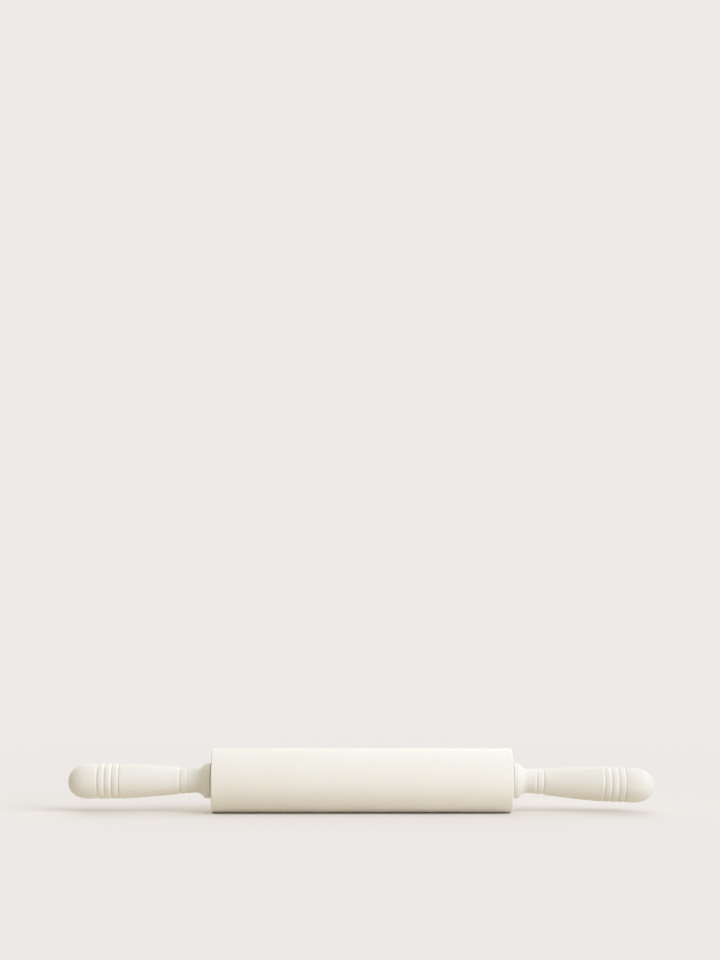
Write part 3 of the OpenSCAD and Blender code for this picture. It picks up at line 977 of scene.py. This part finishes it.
class PIN_OT_finish_hardware(bpy.types.Operator):
    """Give the core tube, spindles, inserts, bushes and washers their finishes"""
    bl_idname = "rolling_pin.finish_hardware"
    bl_label = "Hardware"

    def execute(self, context):
        finish = context.scene.pin_finish
        paint("core_tube", core_aluminium(finish))
        for side_name in SIDES:
            steel = spindle_steel(finish, side_name)
            paint(side_name + "_spindle", steel)
            paint(side_name + "_head_washer", steel)
            paint(side_name + "_threaded_insert", insert_brass(finish, side_name))
            for node in ("_thrust_washer", "_inner_bush", "_outer_bush"):
                paint(side_name + node, bush_nylon(finish))
        return {"FINISHED"}


class PIN_OT_make_stage(bpy.types.Operator):
    """Set the floor, the lights, the background and the camera"""
    bl_idname = "rolling_pin.make_stage"
    bl_label = "Stage"

    def make_floor(self, look):
        """A pale floor that turns into the plain background further out."""
        deselect_all()
        bpy.ops.mesh.primitive_circle_add(
            vertices=96, radius=look.floor_radius, fill_type="TRIFAN", location=(0, 0, cad_low.z))
        floor = context_object()
        settle(floor, "floor")
        floor.data.materials.append(floor_finish(look))

    def make_light(self, name, strength, hue, towards, spread):
        """A distant light that shines from the given direction, spread over some degrees of the sky."""
        spot = Vector(towards)
        bpy.ops.object.light_add(
            type="SUN", location=spot, rotation=(-spot).to_track_quat("-Z", "Y").to_euler())
        light = context_object()
        light.name = name
        light.data.energy = strength
        light.data.color = hue
        light.data.angle = math.radians(spread)

    def make_sky(self, scene, look):
        """Even light from all round, behind which the camera sees the plain background."""
        scene.world = bpy.data.worlds.new("sky")
        scene.world.use_nodes = True
        tree = scene.world.node_tree
        tree.nodes.clear()
        light = add(tree, "Background")
        light.inputs["Strength"].default_value = look.sky
        light.inputs["Color"].default_value = rgba((1.0, 1.0, 1.0))
        plain = add(tree, "Background")
        plain.inputs["Color"].default_value = rgba(look.backdrop)
        mix = add(tree, "MixShader")
        tree.links.new(seen_directly(tree), mix.inputs["Fac"])
        tree.links.new(light.outputs[0], mix.inputs[1])
        tree.links.new(plain.outputs[0], mix.inputs[2])
        tree.links.new(mix.outputs[0], add(tree, "OutputWorld").inputs["Surface"])

    def make_camera(self, scene, look):
        """The camera stands a little to the left, turned so that the barrel shows low in the picture."""
        pixels = look.lens / look.sensor * max(look.picture)
        right = look.centre[0] - look.picture[0] / 2
        below = look.centre[1] - look.picture[1] / 2
        spot = look.distance * Vector((0, -math.cos(look.sight), math.sin(look.sight)))
        spot.x = -look.aside
        pitch = look.sight - math.atan(below / pixels)
        turn_left = math.atan(look.aside / spot.y) + math.atan(right / pixels)
        bpy.ops.object.camera_add(location=spot, rotation=(math.pi / 2 - pitch, look.roll, turn_left))
        camera = context_object()
        camera.data.lens = look.lens
        camera.data.sensor_width = look.sensor
        camera.data.clip_end = 2 * look.floor_radius
        scene.camera = camera

    def execute(self, context):
        look = context.scene.pin_stage
        self.make_floor(look)
        self.make_light("key", look.key, look.key_hue, towards=(0.75, -0.6, 0.4), spread=40)
        self.make_light("right", look.right, look.key_hue, towards=(0.7, -0.3, 0.6), spread=40)
        self.make_light("front", look.front, look.front_hue, towards=(0.0, -0.6, 0.8), spread=60)
        self.make_light("top", look.top, look.top_hue, towards=(-0.4, 0.0, 0.9), spread=60)
        self.make_light("back", look.back, look.back_hue, towards=(0.0, 1.0, 0.8), spread=90)
        self.make_sky(context.scene, look)
        self.make_camera(context.scene, look)
        context.scene.view_settings.view_transform = "Standard"
        return {"FINISHED"}


class PIN_PT_panel(bpy.types.Panel):
    """Lists the pieces of the rolling pin"""
    bl_idname = "PIN_PT_panel"
    bl_label = "Rolling Pin"
    bl_space_type = "VIEW_3D"
    bl_region_type = "UI"
    bl_category = "Rolling Pin"

    def draw(self, context):
        for operator in STEPS:
            self.layout.operator(operator.bl_idname)
        for group in SETTINGS:
            box = self.layout.box()
            settings = getattr(context.scene, group)
            for name in settings.__annotations__:
                box.prop(settings, name)


SETTINGS = {
    "pin_barrel": PinBarrelShape,
    "pin_handle": PinHandleShape,
    "pin_finish": PinFinish,
    "pin_stage": PinStageLook,
}
STEPS = (
    PIN_OT_make_sleeve,
    PIN_OT_make_end_caps,
    PIN_OT_make_grips,
    PIN_OT_make_tips,
    PIN_OT_finish_hardware,
    PIN_OT_make_stage,
)
CLASSES = (*SETTINGS.values(), *STEPS, PIN_PT_panel)


def register():
    for cls in CLASSES:
        bpy.utils.register_class(cls)
    for name, group in SETTINGS.items():
        setattr(bpy.types.Scene, name, bpy.props.PointerProperty(type=group))


def unregister():
    for name in SETTINGS:
        delattr(bpy.types.Scene, name)
    for cls in reversed(CLASSES):
        bpy.utils.unregister_class(cls)


def main():
    register()
    bpy.ops.rolling_pin.make_sleeve()
    bpy.ops.rolling_pin.make_end_caps()
    bpy.ops.rolling_pin.make_grips()
    bpy.ops.rolling_pin.make_tips()
    bpy.ops.rolling_pin.finish_hardware()
    bpy.ops.rolling_pin.make_stage()


if __name__ == "__main__":
    main()
